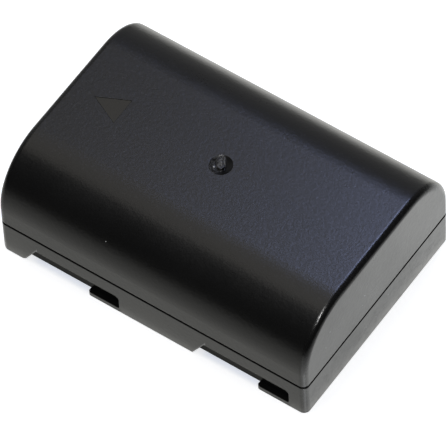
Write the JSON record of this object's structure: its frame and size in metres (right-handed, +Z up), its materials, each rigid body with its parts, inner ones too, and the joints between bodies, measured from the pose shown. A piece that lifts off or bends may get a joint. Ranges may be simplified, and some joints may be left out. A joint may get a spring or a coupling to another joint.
{
  "type": "camera battery",
  "caption": "Rechargeable camera battery pack: rounded black two-shell case with L-shaped guide slots along both sides and recessed contacts in one end.",
  "frame": {"origin": "middle of the flat base, under the middle of the case", "axes": "+Z up out of the rounded top; the terminal end that the arrow points to is at -X, and the plain end at +X"},
  "size_m": [0.062, 0.043, 0.0225],
  "materials": {
    "case_plastic": "fine spark-eroded texture, satin",
    "cell_sleeve": "shrink sleeve over a steel can",
    "nickel_strip": "rolled nickel",
    "contact_gold": "gold plated",
    "board_laminate": "solder resist",
    "chip_black": "moulded epoxy",
    "chip_ceramic": "ceramic with tinned ends",
    "insulating_paper": "calendered",
    "foam_pad": "closed-cell foam"
  },
  "bodies": {
    "root": {"upper_case": "case_plastic", "lower_case": "case_plastic", "cell_left": "cell_sleeve", "cell_right": "cell_sleeve", "cell_ring_left": "insulating_paper", "cell_ring_right": "insulating_paper", "series_strip": "nickel_strip", "positive_strip": "nickel_strip", "negative_strip": "nickel_strip", "midpoint_strip": "nickel_strip", "front_insulator": "insulating_paper", "rear_insulator": "insulating_paper", "rear_pad": "foam_pad", "shoulder_pad_left": "foam_pad", "shoulder_pad_right": "foam_pad", "circuit_board": "board_laminate", "contact_positive": "contact_gold", "contact_data": "contact_gold", "contact_thermistor": "contact_gold", "contact_negative": "contact_gold", "protection_chip": "chip_black", "charge_switch": "chip_black", "discharge_switch": "chip_black", "chip_fuse": "chip_ceramic", "thermistor": "chip_ceramic", "chip_resistors": "chip_ceramic", "chip_capacitors": "chip_ceramic"}
  },
  "joints": []
}
